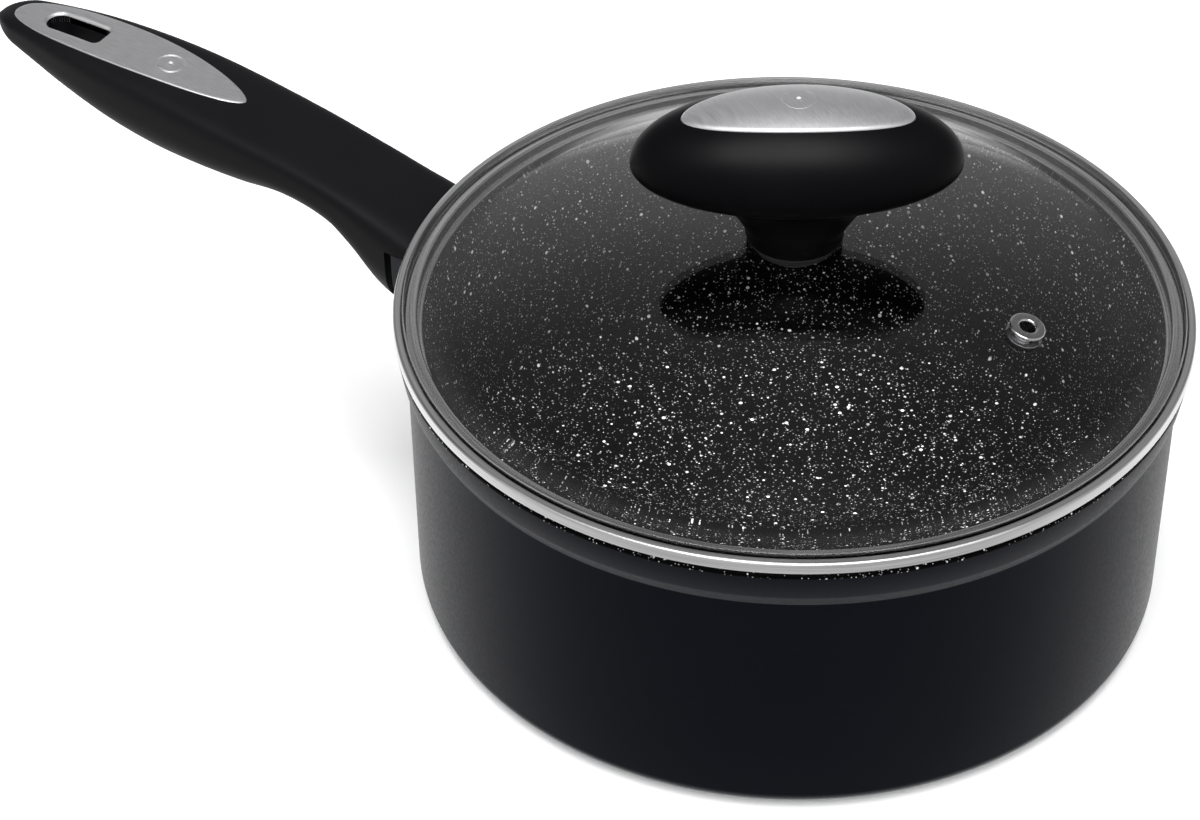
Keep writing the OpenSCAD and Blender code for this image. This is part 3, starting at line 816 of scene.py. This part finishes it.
def build_knob():
    """The oval knob with its recess, and the domed steel inlay that fills it."""
    head = stacked("knob_head", knob_rings(), 144, (knob_mid + knob_up, knob_foot))
    tidy_shell(head)
    gap = 0.12 * MM
    recess_line = oval(knob_trim_a + gap, knob_trim_b + gap)
    recess = patch(
        "knob_recess", recess_line, (0, 0), [i / 24 for i in range(25)],
        lambda x, y, share: knob_mid + 30 * MM, lambda x, y, share: knob_face(x, y, -trim_t),
    )
    head = cut(head, [recess])
    head.transform(knob_turn)
    body = new_piece("knob_body", head, "lid", ["knob_grip"], [knob_phenolic])

    trim_line = oval(knob_trim_a, knob_trim_b)
    rows = [i / 30 for i in range(29)] + [0.95, 0.962, 0.972, 0.98, 0.987, 0.993, 1]

    def crown(x, y, share):
        """The inlay's face, rolled over at its edge."""
        roll = 0.7 * MM
        inward = (1 - share) * knob_trim_b
        drop = 0 if inward > roll else roll - math.sqrt(roll ** 2 - (roll - inward) ** 2)
        return knob_face(x, y, trim_proud) - drop

    inlay = patch("knob_inlay_plate", trim_line, (0, 0), rows, crown,
                  lambda x, y, share: knob_face(x, y, -trim_t + 0.02 * MM))
    marks = ring_mark((0, 0, knob_mid + knob_up + trim_proud), Matrix.Identity(4), 4 * MM, 0.35 * MM)
    inlay = cut(inlay, marks)
    inlay.transform(knob_turn)
    new_piece("knob_inlay_plate", inlay, "lid", ["knob_inlay"], [knob_trim_steel])
    return body


knob_body = build_knob()


# ---------------------------------------------------------------- the handle
def grip_row(x):
    """Top, bottom and half width of the grip at x, on a smooth curve through the stations."""
    i = 0
    while i < len(STATIONS) - 2 and x >= STATIONS[i + 1][0] * MM:
        i += 1
    here, there = STATIONS[i], STATIONS[i + 1]
    before, after = STATIONS[max(i - 1, 0)], STATIONS[min(i + 2, len(STATIONS) - 1)]
    w = there[0] - here[0]
    t = (x / MM - here[0]) / w
    row = []
    for c in (1, 2, 3):
        leave = (there[c] - before[c]) / (there[0] - before[0])
        arrive = (after[c] - here[c]) / (after[0] - here[0])
        value = here[c] * (2 * t ** 3 - 3 * t ** 2 + 1) + leave * w * (t ** 3 - 2 * t ** 2 + t)
        value += there[c] * (3 * t ** 2 - 2 * t ** 3) + arrive * w * (t ** 3 - t ** 2)
        row.append(value * MM)
    return row


def cap_scale(x):
    """How much the section shrinks in the rounding at the tip."""
    past = (x - grip_end + grip_cap) / grip_cap
    return 1 if past <= 0 else math.sqrt(max(0, 1 - past * past))


def grip_section(x, grow, around):
    """One closed section of the grip, its points spaced evenly round it."""
    top, low, half = grip_row(x)
    top, low, half = top + grow, low - grow, half + grow
    mid = low + WIDEST * (top - low)
    f = cap_scale(x)
    fine = []
    for k in range(721):
        a = math.tau * k / 720
        e = 2 / (SQUARE_TOP if math.sin(a) > 0 else SQUARE_LOW)
        reach = top - mid if math.sin(a) > 0 else mid - low
        fine.append((half * f * power(math.cos(a), e), mid + f * power(math.sin(a), e) * reach))
    lengths = [0]
    for a, b in zip(fine, fine[1:]):
        lengths.append(lengths[-1] + math.dist(a, b))
    points, i = [], 0
    for k in range(around):
        want = lengths[-1] * k / around
        while lengths[i + 1] < want:
            i += 1
        share = (want - lengths[i]) / max(lengths[i + 1] - lengths[i], 1e-12)
        points.append((x, *(p + (q - p) * share for p, q in zip(fine[i], fine[i + 1]))))
    return points


def grip_solid(name, xs, grow, around=112):
    """The grip's outer form over these distances, closed at both ends."""
    points, faces = [], []
    for x in xs:
        points += grip_section(x, grow, around)
    for i in range(len(xs) - 1):
        for k in range(around):
            n = (k + 1) % around
            faces.append((i * around + k, (i + 1) * around + k, (i + 1) * around + n, i * around + n))
    for i in (0, (len(xs) - 1) * around):
        ring = points[i:i + around]
        points.append(tuple(sum(p[c] for p in ring) / around for c in range(3)))
        faces += [(i + k, i + (k + 1) % around, len(points) - 1) for k in range(around)]
    mesh = mesh_from(points, faces, name)
    tidy_shell(mesh)
    return mesh


def grip_face(x, y, grow):
    """Height of the grip's upper face at a place on it, grown by grow."""
    top, low, half = grip_row(x)
    top, low, half = top + grow, low - grow, half + grow
    mid = low + WIDEST * (top - low)
    f = max(cap_scale(x), 1e-3)
    return mid + f * (top - mid) * max(0, 1 - abs(y / (half * f)) ** SQUARE_TOP) ** (1 / SQUARE_TOP)


def block(name, lo, hi):
    """A closed box between two corners, for cutting with."""
    points = [(x, y, z) for x in (lo[0], hi[0]) for y in (lo[1], hi[1]) for z in (lo[2], hi[2])]
    faces = [(0, 1, 3, 2), (4, 6, 7, 5), (0, 4, 5, 1), (2, 3, 7, 6), (0, 2, 6, 4), (1, 5, 7, 3)]
    return mesh_from(points, faces, name)


def trim_width(x):
    """Half width of the handle's inlay at x."""
    if x < trim_mid:
        return trim_half * max(0, 1 - ((trim_mid - x) / (trim_mid - trim_lo)) ** 2) ** (1 / 1.7)
    return trim_half * max(0, 1 - ((x - trim_mid) / (trim_hi - trim_mid)) ** 2.4) ** (1 / 2.2)


def hang_distance(x, y):
    """How far a place is outside the hanging hole: square towards the pan, round towards the tip."""
    if x > hang_to - hang_half:
        return math.hypot(x - hang_to + hang_half, y) - hang_half
    corner = 1.5 * MM
    dx = hang_from + corner - x
    dy = abs(y) - hang_half + corner
    if dx > 0 and dy > 0:
        return math.hypot(dx, dy) - corner
    return max(dx, dy) - corner


def reach_along(angle, inside):
    """Where a ray from the middle of the hanging hole leaves the region that inside tells."""
    cx = (hang_from + hang_to) / 2
    near, far = 0, 80 * MM
    for _ in range(40):
        mid = (near + far) / 2
        if inside(cx + mid * math.cos(angle), mid * math.sin(angle)):
            near = mid
        else:
            far = mid
    return (cx + near * math.cos(angle), near * math.sin(angle))


def in_trim(x, y):
    """True inside the outline of the handle's inlay."""
    return trim_lo < x < trim_hi and abs(y) < trim_width(x)


def trim_angles(count):
    """Bearings from the hole that share out the inlay's long outline evenly."""
    angles = [math.tau * k / 1440 for k in range(1441)]
    line = [reach_along(a, in_trim) for a in angles]
    lengths = [0]
    for a, b in zip(line, line[1:]):
        lengths.append(lengths[-1] + math.dist(a, b) + 0.05 * MM)
    out, i = [], 0
    for k in range(count):
        want = lengths[-1] * k / count
        while lengths[i + 1] < want:
            i += 1
        share = (want - lengths[i]) / (lengths[i + 1] - lengths[i])
        out.append(angles[i] + (angles[i + 1] - angles[i]) * share)
    return out


def on_tongue(mesh):
    """Places a mesh on the bracket's tongue, with X along it."""
    root = Matrix.Translation((boss_x + 1 * MM, 0, 62.5 * MM))
    mesh.transform(root @ Matrix.Rotation(math.radians(-14), 4, "Y"))
    return mesh


def build_grip():
    """The moulded grip with its recess, hanging hole, tongue slot and screw hole."""
    body = [94 * MM + 1.6 * MM * i for i in range(95)]
    cap = [grip_end - grip_cap + grip_cap * math.sin(math.radians(a)) for a in range(0, 90, 6)]
    body = [x for x in body if x < cap[0] - 0.5 * MM] + cap + [grip_end - 0.03 * MM]
    mesh = grip_solid("grip", body, 0)
    angles = trim_angles(288)
    line = [reach_along(a, in_trim) for a in angles]
    centre = ((hang_from + hang_to) / 2, 0)
    rows = [i / 40 for i in range(41)]
    gap = 0.12 * MM
    grown = [(x + gap * math.cos(a), y + gap * math.sin(a)) for (x, y), a in zip(line, angles)]
    recess = patch("grip_recess", grown, centre, rows,
                   lambda x, y, share: 110 * MM, lambda x, y, share: grip_face(x, y, -trim_t))
    hole_line = [reach_along(math.tau * k / 96, lambda x, y: hang_distance(x, y) < 0) for k in range(96)]
    hole = patch("hang_hole", hole_line, centre, [0, 0.5, 1],
                 lambda x, y, share: 115 * MM, lambda x, y, share: 60 * MM)
    room = 0.25 * MM
    slot = block(
        "tongue_slot", (-8 * MM, -6 * MM - room, -room), (48 * MM + room, 6 * MM + room, 2.5 * MM + room),
    )
    shaft = pin("screw_hole", 2.3 * MM, -2.05 * MM, 5 * MM, 48)
    shaft.transform(Matrix.Translation((33 * MM, 0, 0)))
    bore = pin("screw_bore", 4.5 * MM, -22 * MM, -2.05 * MM, 64)
    bore.transform(Matrix.Translation((33 * MM, 0, 0)))
    mesh = cut(mesh, [
        pin("pan_room", pan_r + 1.5 * MM, 0, 0.2, 288),
        block(
            "collar_room", (80 * MM, -40 * MM, 0), (collar_end + slot_w, 40 * MM, collar_top + 0.4 * MM),
        ),
        on_tongue(slot), on_tongue(shaft), on_tongue(bore), recess, hole,
    ])
    new_piece("handle_grip_shell", mesh, "pan", ["handle_grip"], [soft_touch])


def build_handle_inlay():
    """The steel inlay on the grip, with a rolled edge round the hanging hole."""
    angles = trim_angles(360)
    outer = [reach_along(a, in_trim) for a in angles]
    inner = [reach_along(a, lambda x, y: hang_distance(x, y) < 0) for a in angles]
    rows = [
        0, 0.01, 0.025, 0.045, 0.07, 0.1, 0.14, 0.19, 0.25, 0.32, 0.4, 0.48,
        0.56, 0.64, 0.72, 0.8, 0.86, 0.91, 0.945, 0.965, 0.98, 0.99, 1,
    ]

    def rolled(distance, roll):
        """How far the face has dropped at this distance from an edge rolled to a radius."""
        if distance >= roll:
            return 0
        return roll - math.sqrt(max(0, roll ** 2 - (roll - distance) ** 2))

    def crown(x, y, share):
        """The inlay's face, rolled down into the hole and over at its edge."""
        drop = rolled(max(0, hang_distance(x, y)), 1.3 * MM)
        return grip_face(x, y, trim_proud) - drop - rolled((1 - share) * 6 * MM, 0.35 * MM)

    def under(x, y, share):
        """The inlay's underside."""
        drop = rolled(max(0, hang_distance(x, y)), 1.3 * MM)
        return grip_face(x, y, -trim_t + 0.02 * MM) - 1.5 * drop

    mesh = patch("handle_inlay_plate", outer, None, rows, crown, under, hole=inner, crease=40)
    mark_x = 195 * MM
    slope = math.atan2(grip_row(mark_x + 2 * MM)[0] - grip_row(mark_x - 2 * MM)[0], 4 * MM)
    centre = (mark_x, 0, grip_face(mark_x, 0, trim_proud))
    marks = ring_mark(centre, Matrix.Rotation(-slope, 4, "Y"), 3.8 * MM, 0.35 * MM)
    mesh = cut(mesh, marks, crease=40)
    new_piece("handle_inlay_plate", mesh, "pan", ["handle_inlay"], [handle_trim_steel])


def build_collar():
    """The plain collar between the pan and the grip, hollow over the bracket."""
    xs = [93.5 * MM] + [94 * MM + 1.2 * MM * i for i in range(17)]
    mesh = grip_solid("collar", xs, -0.25 * MM)
    room = 0.3 * MM
    boss_y = 9 * MM + room
    tongue_y = 6 * MM + room
    mesh = cut(mesh, [
        pin("pan_wall", pan_r + 0.1 * MM, 0, 0.2, 288),
        block("above", (80 * MM, -40 * MM, collar_top), (140 * MM, 40 * MM, 120 * MM)),
        block("beyond", (collar_end, -40 * MM, 0), (150 * MM, 40 * MM, 120 * MM)),
        block("boss_room", (90 * MM, -boss_y, 50.2 * MM), (105.8 * MM, boss_y, 66.8 * MM)),
        block("tongue_room", (boss_x, -tongue_y, 51 * MM), (120 * MM, tongue_y, 81 * MM)),
    ])
    new_piece("handle_collar_block", mesh, "pan", ["handle_collar"], [collar_phenolic])


build_grip()
build_handle_inlay()
build_collar()

# ---------------------------------------------------------------- CAD pieces that stay
CARRIED = {
    "wall_boss": boss_aluminium, "handle_bracket": bracket_steel, "bracket_screws": screw_steel,
    "handle_screw": screw_steel, "handle_washer": screw_steel, "vent_gasket": clear_silicone,
    "knob_seat": black_silicone, "knob_insert": brass, "knob_gasket": black_silicone,
    "knob_washer": screw_steel, "knob_screw": screw_steel,
}
for name, material in CARRIED.items():
    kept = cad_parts[name]
    kept.data.materials.clear()
    kept.data.materials.append(material)


# ---------------------------------------------------------------- the studio
def white_floor():
    """Matt white paper under soft light."""
    settings = {"Roughness": 0.9, "Specular IOR Level": 0.1}
    made, tree, shader, place = finish_named("matt_white_paper", settings)
    fibre = add(tree, "ShaderNodeTexNoise", {"Vector": place, "Scale": per(60), "Detail": 2})
    colour = blend_colours(tree, fibre.outputs["Fac"], linear("#f4f4f4"), linear("#f8f8f8"))
    tree.links.new(colour, shader.inputs["Base Color"])
    return made


def build_floor():
    """A wide pale floor just under the pan."""
    half = 6.0
    drop = -0.1 * MM
    corners = [(-half, -half, drop), (half, -half, drop), (half, half, drop), (-half, half, drop)]
    mesh = mesh_from(corners, [(0, 1, 2, 3)], "floor")
    mesh.materials.append(white_floor())
    floor = helper(mesh)
    # Glossy faces see the room below the horizon in its place.
    floor.visible_glossy = False


def softbox(name, place, target, size, power_w, glossy=True, only_for=None):
    """A rectangular lamp that faces a target, and may light one piece only."""
    lamp = bpy.data.lights.new(name, "AREA")
    lamp.shape = "RECTANGLE"
    lamp.size, lamp.size_y = size
    lamp.energy = power_w
    thing = bpy.data.objects.new(name, lamp)
    thing.location = place
    thing.rotation_euler = (Vector(target) - Vector(place)).to_track_quat("-Z", "Y").to_euler()
    thing.visible_glossy = glossy
    thing.visible_transmission = False
    thing.visible_camera = False
    bpy.context.scene.collection.objects.link(thing)
    if only_for:
        lit = bpy.data.collections.new(name + "_lights")
        lit.objects.link(only_for)
        thing.light_linking.receiver_collection = lit


def build_room():
    """A white sweep behind the pan, dimmer overhead and to the sides, with a soft wall in front."""
    world = bpy.data.worlds.new("white_sweep")
    bpy.context.scene.world = world
    world.use_nodes = True
    tree = world.node_tree
    direction = add(tree, "ShaderNodeTexCoord").outputs["Generated"]

    def towards(way):
        """How far the direction points one way."""
        inputs = {0: direction, 1: way}
        return add(tree, "ShaderNodeVectorMath", inputs, operation="DOT_PRODUCT").outputs["Value"]

    height = towards((0, 0, 1))
    behind = towards((0.509, -0.861, 0))
    aside = maths(tree, "ABSOLUTE", towards((0.861, 0.509, 0)))
    by_height = spread(tree, height, 0.43, 0.13, 0.45, 0.88)
    sweep = maths(tree, "MULTIPLY", by_height, spread(tree, aside, 1, 0.5, 0.1, 0.5))
    above = maths(tree, "ADD", sweep, spread(tree, behind, 0.25, 0, -0.1, 0.2))
    steep = spread(tree, height, 1.3, 0, -0.98, -0.78)
    below = maths(tree, "ADD", spread(tree, behind, 0.45, 1.2, -0.5, 0.5), steep)
    split = spread(tree, height, 0, 1, -0.06, 0.06)
    rest = maths(tree, "SUBTRACT", 1, split)
    level = maths(tree, "ADD", maths(tree, "MULTIPLY", above, split), maths(tree, "MULTIPLY", below, rest))
    seen = add(tree, "ShaderNodeLightPath").outputs["Is Camera Ray"]
    tree.nodes["Background"].inputs["Color"].default_value = linear("#ffffff")
    tree.links.new(maths(tree, "MAXIMUM", level, seen), tree.nodes["Background"].inputs["Strength"])


def build_camera():
    """The camera, looking down past the knob along the handle's far side."""
    camera = bpy.data.cameras.new("camera")
    camera.lens = 94.81
    camera.sensor_width = 36
    camera.clip_start = 0.01
    heading, pitch, roll = math.radians(-59.39), math.radians(39.33), -0.0165
    look = Vector((
        math.cos(heading) * math.cos(pitch), math.sin(heading) * math.cos(pitch), -math.sin(pitch),
    ))
    right = look.cross(Vector((0, 0, 1))).normalized()
    up = right.cross(look)
    turned_right = right * math.cos(roll) + up * math.sin(roll)
    turned_up = up * math.cos(roll) - right * math.sin(roll)
    thing = bpy.data.objects.new("camera", camera)
    thing.matrix_world = Matrix.Translation((-0.2853, 0.58, 0.5758)) @ Matrix((
        turned_right, turned_up, -look,
    )).transposed().to_4x4()
    bpy.context.scene.collection.objects.link(thing)
    bpy.context.scene.camera = thing


build_floor()
build_room()
build_camera()
middle = (0, 0, 0.07)
softbox("key_above_camera", (-0.35, 0.72, 1.4), middle, (1.4, 1.0), 18)
softbox("fill_overhead", (0.1, -0.2, 1.8), middle, (1.6, 1.6), 46, glossy=False)
for name, place in (("strip_right", (-0.26, -0.55, 1.52)), ("strip_left", (0.6, -0.12, 1.52))):
    softbox(name, place, middle, (0.7, 0.5), 22, only_for=pan_body)
softbox("knob_key", (-0.3, 0.62, 1.4), (0, 0, 0.13), (1.1, 0.8), 40, only_for=knob_body)
bpy.context.scene.view_settings.view_transform = "Standard"
